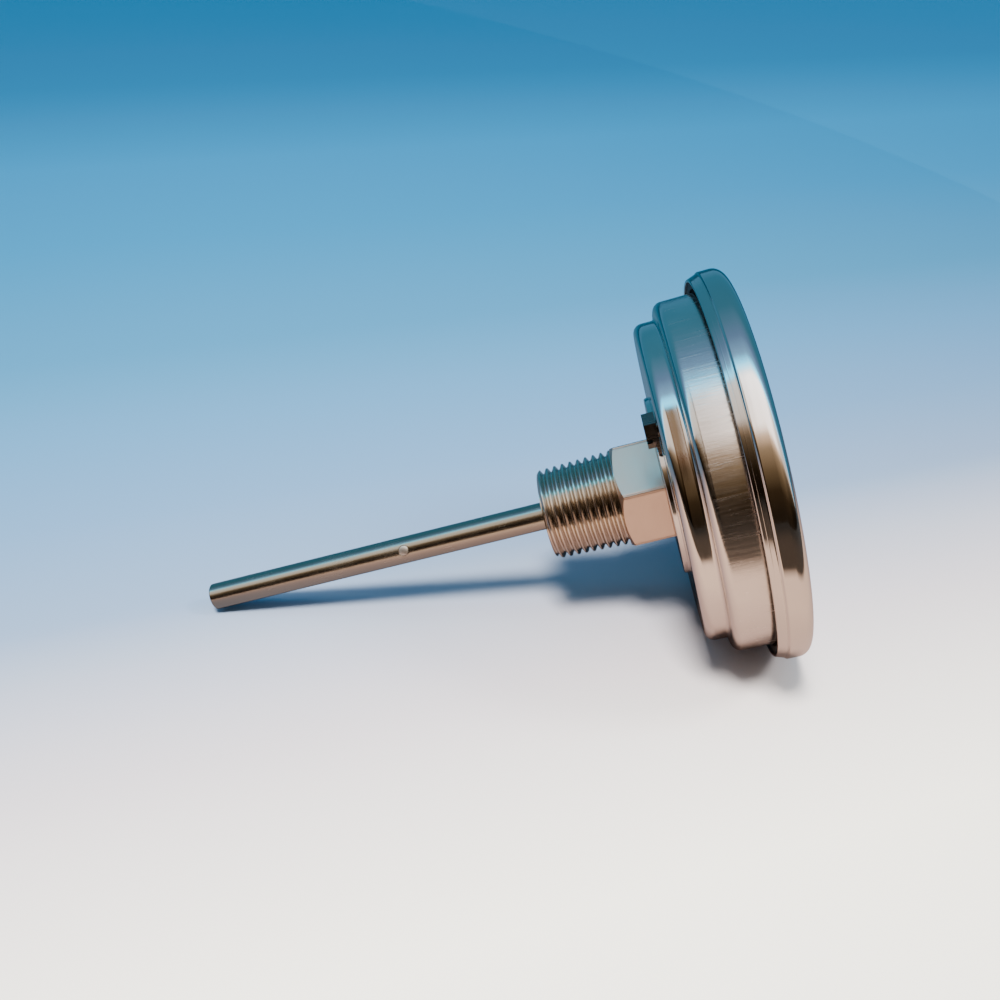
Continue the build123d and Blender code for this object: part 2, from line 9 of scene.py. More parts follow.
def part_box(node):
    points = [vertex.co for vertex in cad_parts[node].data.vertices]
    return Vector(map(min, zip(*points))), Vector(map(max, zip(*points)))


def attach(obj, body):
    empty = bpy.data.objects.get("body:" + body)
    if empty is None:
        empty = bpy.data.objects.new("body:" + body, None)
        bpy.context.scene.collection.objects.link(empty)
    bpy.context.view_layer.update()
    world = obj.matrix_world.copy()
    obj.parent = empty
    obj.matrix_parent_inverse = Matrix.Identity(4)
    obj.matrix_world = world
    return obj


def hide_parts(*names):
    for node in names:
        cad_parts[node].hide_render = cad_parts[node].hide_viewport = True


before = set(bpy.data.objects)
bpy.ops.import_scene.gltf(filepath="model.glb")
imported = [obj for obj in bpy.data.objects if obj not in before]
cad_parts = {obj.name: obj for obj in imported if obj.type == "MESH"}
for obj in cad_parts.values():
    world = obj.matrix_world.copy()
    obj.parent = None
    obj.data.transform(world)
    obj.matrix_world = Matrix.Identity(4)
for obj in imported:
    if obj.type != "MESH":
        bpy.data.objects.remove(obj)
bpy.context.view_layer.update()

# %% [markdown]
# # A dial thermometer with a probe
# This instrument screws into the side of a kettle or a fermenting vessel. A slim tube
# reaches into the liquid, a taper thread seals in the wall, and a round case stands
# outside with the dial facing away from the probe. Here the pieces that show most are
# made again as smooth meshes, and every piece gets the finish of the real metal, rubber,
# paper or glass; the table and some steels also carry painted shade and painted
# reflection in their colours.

MM = 0.001

# %% [markdown]
# ## Reading sizes from the drawing
# The instrument's axis is Y. Nearly every piece is turned on a lathe, so its shape is a
# list of radii at stations along Y. A station is where one of the drawing's parts starts
# or ends, so most of them are read from that part's box rather than typed in again.


# %% Where each part starts and ends
def span(node):
    """The lowest y, the highest y and the greatest radius of a part, in millimetres."""
    low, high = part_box(node)
    return low.y / MM, high.y / MM, high.x / MM


def radius_between(node, start, end):
    """The greatest radius that a turned part's mesh has between two stations, in millimetres."""
    points = [v.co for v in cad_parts[node].data.vertices if start <= v.co.y / MM <= end]
    return max(math.hypot(p.x, p.z) for p in points) / MM


TUBE_WALL = 0.5
TIP, TUBE_RADIUS = span("stem_tube")[1], span("stem_tip_plug")[2] + TUBE_WALL
THREAD_END = 17.2
CASE_FRONT, BOSS_FACE, FLANGE_RADIUS = span("case_shell")
BEZEL_FRONT, BEZEL_BACK, BEZEL_RADIUS = span("bezel_ring")
DIAL_FACE, _, DIAL_RADIUS = span("dial_plate")
print("tip", TIP, "boss face", BOSS_FACE, "bezel", BEZEL_FRONT, BEZEL_BACK, BEZEL_RADIUS)

# %% [markdown]
# ## How it lies on the table
# The thermometer is at rest on its side. It touches the table at two places, the rim of
# the bezel and the tip of the probe, so its axis slopes down towards the tip. It has also
# rolled a little, which brings the adjusting screw on its back round to the top right.
# Every part stays where the drawing has it, so the table is tilted instead: one vector,
# `UP`, says which way is up, and the floor, the lights and the camera all use it.

# %% The table's own directions
ROLL = math.radians(30)
RIM_MIDDLE = (BEZEL_FRONT + BEZEL_BACK) / 2
SLOPE = math.atan2(BEZEL_RADIUS - TUBE_RADIUS, TIP - RIM_MIDDLE)
UP = Vector((
    math.cos(SLOPE) * math.sin(ROLL), -math.sin(SLOPE), math.cos(SLOPE) * math.cos(ROLL)))
ALONG = (Vector((0, 1, 0)) - UP * UP.y).normalized()
NEAR = UP.cross(ALONG)


def on_table(along, near, up):
    """A place from its distances along the table, towards the camera and up, in mm."""
    return (ALONG * along + NEAR * near + UP * up) * MM


drawn_points = np.array([v.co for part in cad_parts.values() for v in part.data.vertices])
TABLE_TOP = float((drawn_points @ np.array(UP)).min()) / MM
print("slope", round(math.degrees(SLOPE), 1), "degrees")
print("table", round(TABLE_TOP, 1), "mm from the axis origin")

# %% [markdown]
# ## The camera
# The view is square on to the instrument's length, from thirty-five degrees above the
# table and quite near, as a hand-held camera would be. Near the subject a wide lens makes
# the dial end look larger than the tip, which is much of this view's character.

# %% Camera
ELEVATION = math.radians(35.1)
TILT = math.radians(0.76)
EYE = on_table(27.2, 185.5, 111.7)

camera = bpy.data.cameras.new("camera")
camera.lens = 34.2
camera.sensor_width = 36
camera.shift_y = 0.0625
camera.clip_start = 0.01
camera_object = bpy.data.objects.new("camera", camera)
bpy.context.scene.collection.objects.link(camera_object)
looking = -NEAR * math.cos(ELEVATION) - UP * math.sin(ELEVATION)
right = looking.cross(UP).normalized()
top = right.cross(looking)
turned_top = top * math.cos(TILT) - right * math.sin(TILT)
turned_right = looking.cross(turned_top)
camera_object.matrix_world = Matrix.Translation(EYE) @ Matrix(
    (turned_right, turned_top, -looking)).transposed().to_4x4()
bpy.context.scene.camera = camera_object
print("camera", [round(value / MM, 1) for value in EYE])

# %% [markdown]
# ## A helper for turned pieces
# A lathe outline is a list of corners, each a radius, a station and the size of its round.
# `rounded` replaces each corner with an arc, and puts one more point just outside each end
# of the arc. Those extra points hold the flat runs flat when the mesh is shaded smooth,
# which matters on polished metal, where a reflection shows every ripple.


# %% Outlines with rounds
def rounded(corners, steps=10, support=0.12):
    """Corners (radius, y, round) as a closed list of points, all in millimetres."""
    points = []
    for index, (radius, y, bend) in enumerate(corners):
        here = np.array((radius, y), float)
        if bend == 0:
            points.append(tuple(here))
            continue
        back = np.array(corners[index - 1][:2]) - here
        onward = np.array(corners[(index + 1) % len(corners)][:2]) - here
        back_way, onward_way = back / np.linalg.norm(back), onward / np.linalg.norm(onward)
        half = math.acos(np.clip(back_way @ onward_way, -1, 1)) / 2
        reach = bend / math.tan(half)
        middle = back_way + onward_way
        centre = here + middle / np.linalg.norm(middle) * bend / math.sin(half)
        start, end = here + back_way * reach, here + onward_way * reach
        first = math.atan2(*(start - centre)[::-1])
        sweep = math.atan2(*(end - centre)[::-1]) - first
        sweep = (sweep + math.pi) % (2 * math.pi) - math.pi
        points.append(tuple(start + back_way * support))
        for step in range(steps + 1):
            angle = first + sweep * step / steps
            points.append((centre[0] + bend * math.cos(angle), centre[1] + bend * math.sin(angle)))
        points.append(tuple(end + onward_way * support))
    return points


# %% Turning an outline into a mesh
def make_piece(name, vertices, faces, sharp=32):
    """A smooth-shaded mesh object from points in metres, with edges sharper than `sharp` kept."""
    mesh = bpy.data.meshes.new(name)
    mesh.from_pydata([tuple(v) for v in vertices], [], faces)
    work = bmesh.new()
    work.from_mesh(mesh)
    bmesh.ops.remove_doubles(work, verts=work.verts, dist=1e-7)
    bmesh.ops.dissolve_degenerate(work, edges=work.edges, dist=1e-8)
    bmesh.ops.recalc_face_normals(work, faces=work.faces)
    work.to_mesh(mesh)
    work.free()
    mesh.polygons.foreach_set("use_smooth", [True] * len(mesh.polygons))
    mesh.set_sharp_from_angle(angle=math.radians(sharp))
    piece = bpy.data.objects.new(name, mesh)
    bpy.context.scene.collection.objects.link(piece)
    return piece


def lathe(name, outline, around=384, centre=(0, 0), sharp=32):
    """Turn a closed outline of (radius, y) points about Y, or about a line beside it."""
    turn = np.linspace(0, 2 * math.pi, around, endpoint=False)
    radius, y = np.array(outline, float).T * MM
    x = np.outer(radius, np.sin(turn)) + centre[0] * MM
    z = np.outer(radius, np.cos(turn)) + centre[1] * MM
    vertices = np.stack([x, np.repeat(y[:, None], around, 1), z], -1).reshape(-1, 3)
    rows = len(outline)
    faces = [
        (a * around + k, a * around + (k + 1) % around,
         b * around + (k + 1) % around, b * around + k)
        for a, b in zip(range(rows), [*range(1, rows), 0]) for k in range(around)]
    return make_piece(name, vertices, faces, sharp)


def finished_mesh(piece):
    """A new mesh of a piece as its modifiers leave it."""
    bpy.context.view_layer.update()
    evaluated = piece.evaluated_get(bpy.context.evaluated_depsgraph_get())
    return bpy.data.meshes.new_from_object(evaluated)


def cut(piece, cutter):
    """Take the cutter's shape out of a piece, and drop the cutter."""
    change = piece.modifiers.new("cut", "BOOLEAN")
    change.operation, change.solver, change.object = "DIFFERENCE", "EXACT", cutter
    result = finished_mesh(piece)
    piece.modifiers.clear()
    piece.data = result
    bpy.data.objects.remove(cutter)
    return piece


# %% [markdown]
# ## Steel finishes
# All the steel here is one alloy, and the tool that touched it last gives each piece much
# of its own look. The case wall was drawn through a die, so it carries fine lines along the
# axis. The hexagon was milled and has a satin face, with a warm painted reflection in its
# colour, and the thread, cut on a lathe, is smoother and brighter. The bezel and the cup
# were polished, and the probe was brushed along its length; its colour is painted darker,
# painted shade for the shadowed table that it mirrors. The adjusting screw and its bush
# take a darker steel. One helper builds all of these from a colour, a roughness range and
# fine lines, since only those three things differ.


# %% Node helpers
def blank_material(name):
    """A new node material, its tree and its main shader."""
    material = bpy.data.materials.new(name)
    material.use_nodes = True
    tree = material.node_tree
    return material, tree, tree.nodes["Principled BSDF"]


def add_node(tree, kind, inputs=(), **settings):
    """Add a node, set its properties, and set or link its inputs by number or name."""
    node = tree.nodes.new(kind)
    for key, value in settings.items():
        setattr(node, key, value)
    for key, value in dict(inputs).items():
        if isinstance(value, bpy.types.NodeSocket):
            tree.links.new(value, node.inputs[key])
        else:
            node.inputs[key].default_value = value
    return node


def number_maths(tree, operation, inputs):
    """The answer of one sum, product or other piece of arithmetic."""
    return add_node(tree, "ShaderNodeMath", inputs, operation=operation).outputs[0]


def vector_maths(tree, operation, inputs):
    """The answer of arithmetic on vectors, a number for a length or a dot product."""
    answer = "Value" if operation in ("LENGTH", "DOT_PRODUCT") else "Vector"
    return add_node(tree, "ShaderNodeVectorMath", inputs, operation=operation).outputs[answer]


def share_between(tree, value, low, high):
    """How far a value is on the way from low to high, held between 0 and 1."""
    values = {"Value": value, "From Min": low, "From Max": high}
    return add_node(tree, "ShaderNodeMapRange", values).outputs[0]


def mix_colour(tree, factor, first, second):
    """A colour that turns from the first into the second."""
    values = {0: factor, 6: first, 7: second}
    return add_node(tree, "ShaderNodeMix", values, data_type="RGBA").outputs[2]


def object_place(tree):
    """Where the shaded point is in the object's own axes, in metres."""
    return add_node(tree, "ShaderNodeTexCoord").outputs["Object"]


def off_axis(tree, place):
    """A place with its y dropped, which leaves the way out from the axis, and its y alone."""
    split = add_node(tree, "ShaderNodeSeparateXYZ", {0: place}).outputs
    flat = add_node(tree, "ShaderNodeCombineXYZ", {0: split["X"], 2: split["Z"]}).outputs[0]
    return flat, split["Y"]


def add_bump(tree, shader, height, depth, strength=1.0):
    """Tilt the surface by a height pattern that is `depth` millimetres deep."""
    values = {"Height": height, "Distance": depth * MM, "Strength": strength}
    bump = add_node(tree, "ShaderNodeBump", values)
    tree.links.new(bump.outputs["Normal"], shader.inputs["Normal"])


def ramp(tree, factor, stops):
    """A colour ramp over a factor, from (place, colour) stops; a number is a grey."""
    node = add_node(tree, "ShaderNodeValToRGB", {"Fac": factor})
    elements = node.color_ramp.elements
    while len(elements) < len(stops):
        elements.new(0.5)
    for element, (place, colour) in zip(elements, stops):
        element.position = place
        shade = (colour,) * 3 if isinstance(colour, (int, float)) else colour
        element.color = (*shade, 1)
    return node.outputs["Color"]


def noise(tree, vector, scale, detail=4.0, roughness=0.6):
    """A noise pattern's factor, with its scale in features per metre."""
    values = {"Vector": vector, "Scale": scale, "Detail": detail, "Roughness": roughness}
    return add_node(tree, "ShaderNodeTexNoise", values).outputs["Fac"]


# %% Lines left by the tool
LINE_STRETCH = 0.035
MARK_DRIFT = 0.01


def tool_lines(tree, way, radius):
    """A place to sample noise at, stretched so that the noise becomes fine lines.

    `way` is "along" for lines that run along the axis, or "round" for turning marks."""
    flat, station = off_axis(tree, object_place(tree))
    if way == "along":
        unit = vector_maths(tree, "NORMALIZE", {0: flat})
        wrapped = vector_maths(tree, "SCALE", {0: unit, "Scale": radius * MM})
        drawn = number_maths(tree, "MULTIPLY", {0: station, 1: LINE_STRETCH})
        shift = add_node(tree, "ShaderNodeCombineXYZ", {1: drawn}).outputs[0]
        return vector_maths(tree, "ADD", {0: wrapped, 1: shift})
    reach = vector_maths(tree, "LENGTH", {0: flat})
    drift = vector_maths(tree, "SCALE", {0: flat, "Scale": MARK_DRIFT})
    marks = add_node(tree, "ShaderNodeCombineXYZ", {0: reach, 1: station}).outputs[0]
    return vector_maths(tree, "ADD", {0: marks, 1: drift})


# %% One recipe for every steel
MOTTLE = 0.05


def steel(name, colour, rough, way="along", radius=20.0, fineness=2200.0, depth=0.0):
    """Bare metal: its colour, a (smoothest, roughest) pair, and the tool's lines."""
    material, tree, shader = blank_material(name)
    lines = noise(tree, tool_lines(tree, way, radius), fineness, 5.0, 0.65)
    clouds = noise(tree, object_place(tree), 90.0, 3.0)
    darker = tuple(channel * (1 - MOTTLE) for channel in colour)
    tree.links.new(ramp(tree, clouds, [(0.3, darker), (0.7, colour)]), shader.inputs["Base Color"])
    grain = number_maths(tree, "MULTIPLY", {0: lines, 1: clouds})
    tree.links.new(ramp(tree, grain, [(0.12, rough[0]), (0.42, rough[1])]), shader.inputs["Roughness"])
    shader.inputs["Metallic"].default_value = 1.0
    if depth:
        add_bump(tree, shader, lines, depth)
    return material


POLISHED = steel(
    "polished stainless", (0.67, 0.62, 0.58), (0.05, 0.14),
    "round", depth=0.001, fineness=900)
DRAWN = steel(
    "drawn stainless", (0.66, 0.61, 0.57), (0.16, 0.34),
    "along", 39.4, 2600, depth=0.010)
# The probe's steel is painted darker than the rest: painted shade for the table in its own shadow,
# which the tube mirrors.
PROBE_STEEL_PAINTED_DARKER = steel(
    "probe stainless painted darker", (0.44, 0.40, 0.33), (0.18, 0.30),
    "along", 3.2, 5200, depth=0.0015)
MACHINED = steel(
    "machined stainless", (0.64, 0.56, 0.49), (0.20, 0.36),
    "round", depth=0.003, fineness=2600)
# The hexagon's steel is warmer and darker than the rest: a painted reflection of the warm, darker room
# that its flats mirror.
HEX_STEEL_WITH_PAINTED_REFLECTION = steel(
    "milled stainless", (0.68, 0.52, 0.42), (0.30, 0.44),
    "round", depth=0.003, fineness=2600)
THREAD_STEEL = steel(
    "cut thread stainless", (0.66, 0.59, 0.51), (0.12, 0.22),
    "round", fineness=3000)
SPRING = steel(
    "spring steel", (0.55, 0.54, 0.53), (0.25, 0.4),
    "along", 8.0, 2600, depth=0.002)
COIL_METAL = steel(
    "bimetal strip", (0.62, 0.53, 0.42), (0.2, 0.35),
    "round", fineness=3000, depth=0.002)
STAKE_STEEL = steel(
    "stake stainless", (0.86, 0.82, 0.76), (0.32, 0.45),
    "round", fineness=4000)
# The screw and its bush take a steel much darker than the rest.
SCREW_STEEL = steel(
    "dark screw steel", (0.26, 0.24, 0.22), (0.20, 0.34),
    "along", 30, 1200)
BRASS = steel(
    "machined brass", (0.74, 0.55, 0.26), (0.2, 0.34),
    "round", fineness=3000, depth=0.002)
print("metals", sum(m.node_tree is not None for m in bpy.data.materials))

# %% [markdown]
# ## Rubber, fibre, glass and paint
# The seals are black rubber, with a faint bloom on them. The friction washer is pressed
# fibre. The window is flat glass, which lets light through without the cost of bending it
# twice: a thin window only needs a faint reflection. The dial is white enamel.


# %% Soft and painted finishes
def plain_finish(name, light, dark, rough, speckle=900.0, depth=0.004):
    """A finish that isn't metal: two close colours, a roughness pair and a fine grain."""
    material, tree, shader = blank_material(name)
    grain = noise(tree, object_place(tree), speckle)
    tree.links.new(ramp(tree, grain, [(0.35, dark), (0.65, light)]), shader.inputs["Base Color"])
    tree.links.new(ramp(tree, grain, [(0.3, rough[0]), (0.7, rough[1])]), shader.inputs["Roughness"])
    add_bump(tree, shader, grain, depth, 0.6)
    return material


RUBBER = plain_finish(
    "black rubber", (0.018, 0.018, 0.019), (0.008, 0.008, 0.009), (0.45, 0.65))
FIBRE = plain_finish(
    "pressed fibre", (0.32, 0.13, 0.08), (0.22, 0.08, 0.05), (0.6, 0.8), 1600)
ENAMEL = plain_finish(
    "white dial enamel", (0.83, 0.83, 0.81), (0.80, 0.80, 0.78), (0.28, 0.38), 500, 0.001)
INK = plain_finish(
    "black dial ink", (0.02, 0.02, 0.022), (0.012, 0.012, 0.014), (0.4, 0.5), 1200, 0.0005)
POINTER_PAINT = plain_finish(
    "pointer paint", (0.022, 0.022, 0.024), (0.014, 0.014, 0.016), (0.3, 0.42), 1500, 0.001)


# %% Window glass
def window_material():
    """Clear glass: see-through, with a coat of reflection that grows at low angles."""
    material, tree, shader = blank_material("clear window glass")
    smears = noise(tree, object_place(tree), 60.0, 3.0)
    tree.links.new(ramp(tree, smears, [(0.4, 0.0), (0.8, 0.03)]), shader.inputs["Roughness"])
    shader.inputs["Base Color"].default_value = (0.97, 0.985, 0.98, 1)
    shader.inputs["Transmission Weight"].default_value = 1.0
    shader.inputs["IOR"].default_value = 1.12
    return material


GLASS = window_material()

# %% [markdown]
# ## Finishes for the drawing's own parts
# Parts that are hidden inside the case, or already have the right shape, stay as the
# drawing made them. Each one takes the finish that its material slot names.

# %% Slots to finishes
FINISH = {
    "polished_stainless": POLISHED,
    "brushed_stainless": DRAWN,
    "machined_stainless": MACHINED,
    "spring_steel": SPRING,
    "bimetal_strip": COIL_METAL,
    "brass": BRASS,
    "black_rubber": RUBBER,
    "fibre": FIBRE,
    "clear_glass": GLASS,
    "dial_white": ENAMEL,
    "pointer_black": POINTER_PAINT,
}
SLOT_OF = {
    name: part.data.materials[0].name.split(".")[0] for name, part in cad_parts.items()}


def dress(piece, material):
    """Give a piece one material."""
    piece.data.materials.clear()
    piece.data.materials.append(material)
    return piece


for name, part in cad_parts.items():
    dress(part, FINISH[SLOT_OF[name]])
print("parts dressed", len(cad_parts), "slots", len(FINISH))


def stand_in_for(piece, node, body, material):
    """Let a new piece replace a drawn part: in the given body, with its own finish, the drawn part
    hidden.
    """
    dress(piece, material)
    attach(piece, body)
    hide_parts(node)
    return piece


# %% [markdown]
# ## The case
# The case is a steel cup drawn in three steps: a low boss that the hexagon seats on, a
# back cup, and the main wall, which flares into a flange under the bezel. The drawing
# tools leave a generous round on each outside corner and a small one inside. The mesh is
# the same outline turned in 384 steps, so that reflections run round it without facets.
# Where the adjusting screw's bush goes through the cup, the flat has extra rows. They keep
# the faces round the hole small, and a polished flat then shades evenly up to its edge.

# %% Case outline
SHEET = 0.6
BOSS_HEIGHT, STEP_DEPTH, FLANGE_DEPTH = 1.1, 6.15, 16.3
CUP_BACK = BOSS_FACE - BOSS_HEIGHT
STEP_FACE = BOSS_FACE - STEP_DEPTH
FLANGE_BACK = BOSS_FACE - FLANGE_DEPTH
CLEAR_OF_FILLET = 0.9
CUP_RADIUS = radius_between("case_shell", STEP_FACE + CLEAR_OF_FILLET, CUP_BACK)
CASE_RADIUS = radius_between("case_shell", FLANGE_BACK + CLEAR_OF_FILLET, STEP_FACE)
BOSS_FOOT = 20.3
BOSS_DRAFT = 0.3
HUB_HOLE = 8.05
OUTER_ROUND, STEP_FILLET, INNER_ROUND, BOSS_ROUND, FOOT_FILLET = 2.0, 0.8, 1.4, 0.3, 0.15
ROWS_REACH = 2.9
screw_low, screw_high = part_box("adjuster_screw")
SCREW_Z = (screw_low.z + screw_high.z) / 2 / MM
rows_by_screw = [
    (float(radius), CUP_BACK, 0) for radius in SCREW_Z + np.linspace(-ROWS_REACH, ROWS_REACH, 19)]
case_outline = rounded([
    (HUB_HOLE, BOSS_FACE, 0),
    (BOSS_FOOT - BOSS_DRAFT, BOSS_FACE, BOSS_ROUND),
    (BOSS_FOOT, CUP_BACK, FOOT_FILLET),
    *rows_by_screw,
    (CUP_RADIUS, CUP_BACK, OUTER_ROUND),
    (CUP_RADIUS, STEP_FACE, STEP_FILLET),
    (CASE_RADIUS, STEP_FACE, OUTER_ROUND),
    (CASE_RADIUS, FLANGE_BACK, STEP_FILLET),
    (FLANGE_RADIUS, FLANGE_BACK, 0),
    (FLANGE_RADIUS, CASE_FRONT, 0),
    (CASE_RADIUS - SHEET, CASE_FRONT, INNER_ROUND),
    (CASE_RADIUS - SHEET, STEP_FACE - SHEET, INNER_ROUND),
    (CUP_RADIUS - SHEET, STEP_FACE - SHEET, INNER_ROUND),
    (CUP_RADIUS - SHEET, CUP_BACK - SHEET, INNER_ROUND),
    (BOSS_FOOT - SHEET, CUP_BACK - SHEET, BOSS_ROUND),
    (BOSS_FOOT - BOSS_DRAFT - SHEET, BOSS_FACE - SHEET, FOOT_FILLET),
    (HUB_HOLE, BOSS_FACE - SHEET, 0)])
case = lathe("case_wall", case_outline)

# %% The hole for the adjusting screw's bush
BUSH_SPIGOT = 2.6
hole_back, hole_front = CUP_BACK + 1, CUP_BACK - 1.5
hole = lathe("hole", [(0, hole_back), (BUSH_SPIGOT, hole_back),
                      (BUSH_SPIGOT, hole_front), (0, hole_front)], 64, (0, SCREW_Z))
cut(case, hole)
print("case radii", round(CUP_RADIUS, 2), round(CASE_RADIUS, 2), "screw at", round(SCREW_Z, 2))

# %% [markdown]
# The case needs two finishes on one sheet of metal: drawn lines on the main wall, and
# polish on the cup and the corners. A second material would leave a hard border, so one
# material mixes its two values of roughness and line depth by the distance from the axis.


# %% Case finish
LINES_START, LINES_FULL = CASE_RADIUS - 0.25, CASE_RADIUS - 0.02
LINE_DEPTH = 0.022


def case_material():
    """Drawn lines on the main wall that fade out into polish at its corners."""
    material, tree, shader = blank_material("case stainless")
    place = object_place(tree)
    reach = vector_maths(tree, "LENGTH", {0: off_axis(tree, place)[0]})
    wall = share_between(tree, reach, LINES_START * MM, LINES_FULL * MM)
    lines = noise(tree, tool_lines(tree, "along", CASE_RADIUS), 1900.0, 5.0, 0.7)
    rings = noise(tree, tool_lines(tree, "round", CASE_RADIUS), 900.0, 3.0)
    clouds = noise(tree, place, 70.0, 3.0)
    metal = ramp(tree, clouds, [(0.3, (0.68, 0.63, 0.59)), (0.7, (0.76, 0.71, 0.67))])
    tree.links.new(metal, shader.inputs["Base Color"])
    drawn = ramp(tree, lines, [(0.35, 0.12), (0.65, 0.28)])
    polish = ramp(tree, rings, [(0.35, 0.05), (0.65, 0.13)])
    rough = add_node(tree, "ShaderNodeMix", {0: wall, 2: polish, 3: drawn}).outputs[0]
    tree.links.new(rough, shader.inputs["Roughness"])
    add_bump(tree, shader, number_maths(tree, "MULTIPLY", {0: lines, 1: wall}), LINE_DEPTH)
    shader.inputs["Metallic"].default_value = 1.0
    return material


stand_in_for(case, "case_shell", "housing", case_material())

# %% [markdown]
# ## The bezel
# The bezel is a ring of thin steel with its back edge rolled over the flange. Rolling
# leaves three bands on the outside: a narrow bead where the metal turns in, a shallow
# groove, and a broad, slightly crowned band that ends in a large round at the front.

# %% Bezel outline
SIGHT_RADIUS = DIAL_RADIUS + 0.8
BEZEL_SHEET = 0.7
LIP_OVERLAP, BEAD_WIDTH = 0.65, 1.9
FRONT_ROUND, FRONT_ROUND_INSIDE, LIP_ROUND = 2.6, 1.9, 0.3
LIP_RADIUS = FLANGE_RADIUS - LIP_OVERLAP
GROOVE_AT = BEZEL_BACK - BEAD_WIDTH
INSIDE_RADIUS = BEZEL_RADIUS - BEZEL_SHEET
bezel_outline = rounded([
    (LIP_RADIUS, BEZEL_BACK - 0.05, 0.17),
    (LIP_RADIUS + 0.5, BEZEL_BACK, LIP_ROUND),
    (BEZEL_RADIUS - 0.42, GROOVE_AT + 0.1, 0.8),
    (BEZEL_RADIUS - 0.4, GROOVE_AT - 0.12, 0.15),
    (BEZEL_RADIUS - 0.02, GROOVE_AT - 0.45, 0.4),
    (BEZEL_RADIUS, (GROOVE_AT + BEZEL_FRONT) / 2, 0),
    (BEZEL_RADIUS - 0.06, BEZEL_FRONT, FRONT_ROUND),
    (SIGHT_RADIUS, BEZEL_FRONT, 0.23),
    (SIGHT_RADIUS, BEZEL_FRONT + BEZEL_SHEET, 0),
    (INSIDE_RADIUS, BEZEL_FRONT + BEZEL_SHEET, FRONT_ROUND_INSIDE),
    (INSIDE_RADIUS, BEZEL_BACK - BEZEL_SHEET, LIP_ROUND),
    (LIP_RADIUS, BEZEL_BACK - BEZEL_SHEET, 0)], steps=8, support=0.05)
bezel = lathe("rolled_bezel", bezel_outline, sharp=50)
stand_in_for(bezel, "bezel_ring", "housing", POLISHED)
print("bezel points", len(bezel_outline))

# %% [markdown]
# ## The probe
# The probe is a quarter-inch tube. Its end is closed by a plug that is ground flush, and a
# round stake half way along holds the guide bush inside. The stake shows as a small dot
# with a dark ring, so the tube gets a hole slightly larger than the stake. As on the case,
# extra rows beside that hole keep the shading even.

# %% Tube, plug and stake
BORE = TUBE_RADIUS - TUBE_WALL
TAIL = span("stem_tube")[0]
TAIL_RADIUS = TUBE_RADIUS + 0.35
TIP_ROUND = 0.4
stake_low, stake_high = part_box("bush_stake")
stake_middle = (stake_low + stake_high) / 2 / MM
rows_by_stake = [(TUBE_RADIUS, float(y), 0) for y in stake_middle.y + np.linspace(-2, 2, 17)]
tube_outline = rounded([
    (BORE, TAIL, 0), (TAIL_RADIUS, TAIL, 0),
    (TAIL_RADIUS, THREAD_END, 0), (TUBE_RADIUS, THREAD_END, 0),
    *rows_by_stake, (TUBE_RADIUS, TIP, TIP_ROUND), (BORE, TIP, 0)], steps=6, support=0.05)
tube = lathe("probe_tube", tube_outline, 160)
outward = Vector((stake_middle.x, 0, stake_middle.z)).normalized()


def round_bar(name, radius, start, end, crown=0.0, around=64):
    """A bar that points out of the tube at the stake, from and to a distance off the axis."""
    rim = [(0, start), (radius, start), (radius, end - crown),
           (radius * 0.8, end - crown * 0.25), (0, end)]
    bar = lathe(name, rim, around)
    turn = Vector((0, 1, 0)).rotation_difference(outward).to_matrix().to_4x4()
    bar.data.transform(Matrix.Translation(Vector((0, stake_middle.y * MM, 0))) @ turn)
    return bar


STAKE_RADIUS, STAKE_CROWN, STAKE_RING = 1.1, 0.12, 0.13
stake_hole = round_bar(
    "stake_hole", STAKE_RADIUS + STAKE_RING, TUBE_RADIUS - 0.32, TUBE_RADIUS + 1)
cut(tube, stake_hole)
stake = round_bar("stake_head", STAKE_RADIUS, BORE + 0.05, TUBE_RADIUS + 0.08, STAKE_CROWN)
PLUG_RADIUS, PLUG_BACK, PLUG_FACE = BORE - 0.02, TIP - 3, TIP - 0.05
plug_outline = rounded([
    (0, PLUG_BACK, 0), (PLUG_RADIUS, PLUG_BACK, 0),
    (PLUG_RADIUS, PLUG_FACE, 0.15), (0, PLUG_FACE, 0)], steps=4, support=0.05)
plug = lathe("tip_plug", plug_outline, 96)
stand_in_for(tube, "stem_tube", "housing", PROBE_STEEL_PAINTED_DARKER)
stand_in_for(stake, "bush_stake", "housing", STAKE_STEEL)
stand_in_for(plug, "stem_tip_plug", "housing", MACHINED)
print("stake at", [round(value, 2) for value in stake_middle])

# %% [markdown]
# ## The thread and the hexagon
# One bar of steel makes the spigot, the hexagon and the taper thread. A thread is one
# groove that winds round the bar, so each row of this mesh winds with it: going once
# round, a row climbs by exactly one pitch. The crest and the root then lie along rows, and
# stay crisp however few rows there are. The hexagon's rows bend too. A chamfer cuts its
# end face, and where that cone meets the six flats a row follows the curved edge. The
# columns crowd together at the hexagon's corners, where the small fillets are.

# %% Columns round the bar
PITCH = 25.4 / 14
THREAD_DEPTH = 1.05
ROOT_FLAT = 0.25
END_RADIUS = 10.358
TAPER = 1 / 32
END_CHAMFER = 0.65
ACROSS_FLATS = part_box("connector")[1].z / MM * 2
HEX_FACE = 11.0
CORNER_FILLET = 0.4
EVEN_COLUMNS = 336
even = {round(k * 360 / EVEN_COLUMNS, 4) for k in range(EVEN_COLUMNS)}
near_corners = {
    round(corner * 60 + 30 + step * 0.25, 4) for corner in range(6) for step in range(-6, 7)}
columns = np.radians(sorted(even | near_corners))


def hexagon_reach(turn):
    """The hexagon's radius at an angle from +Z, its corners rounded by a small fillet."""
    half = ACROSS_FLATS / 2
    from_flat = (turn + math.pi / 6) % (math.pi / 3) - math.pi / 6
    plain = half / math.cos(from_flat)
    from_corner = math.pi / 6 - abs(from_flat)
    centre = (half - CORNER_FILLET) / math.cos(math.pi / 6)
    inside = CORNER_FILLET ** 2 - (centre * math.sin(from_corner)) ** 2
    if inside <= 0:
        return plain
    return min(plain, centre * math.cos(from_corner) + math.sqrt(inside))


